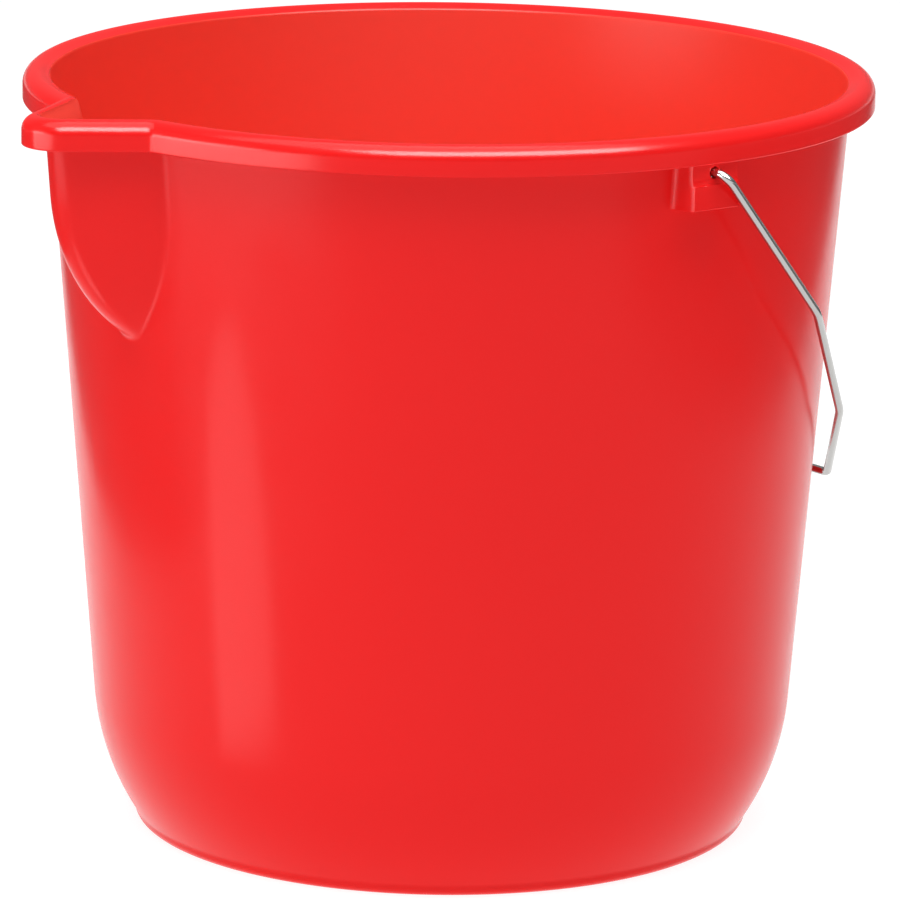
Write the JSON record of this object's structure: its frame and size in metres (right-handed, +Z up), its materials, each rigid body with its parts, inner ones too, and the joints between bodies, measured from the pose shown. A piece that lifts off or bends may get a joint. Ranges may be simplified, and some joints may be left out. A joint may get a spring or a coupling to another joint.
{
  "type": "wash bucket",
  "caption": "Tapered round wash bucket moulded in red plastic, with a V-shaped pouring spout, a turned-down rim and a bent wire bail that swings in moulded lugs.",
  "frame": {"origin": "centre of the foot ring, on the surface that the bucket stands on", "axes": "+Z up along the bowl's axis; the pouring spout points towards -Y; the bail's pivot line runs along X, one lug at +X and one at -X; at rest the bail hangs on the +Y side, opposite the spout"},
  "size_m": [0.31, 0.3274, 0.271],
  "materials": {
    "red_plastic": "smooth moulded polypropylene, semi-gloss",
    "zinc_wire": "bright zinc-plated drawn steel wire"
  },
  "bodies": {
    "bucket": {"bucket_shell": "red_plastic"},
    "bail": {"wire_bail": "zinc_wire"}
  },
  "joints": [
    {"name": "bail_swing", "type": "hinge", "parent": "bucket", "child": "bail", "pos_m": [0, 0, 0.2575], "axis": [1, 0, 0], "range_deg": [0, 272.9]}
  ]
}
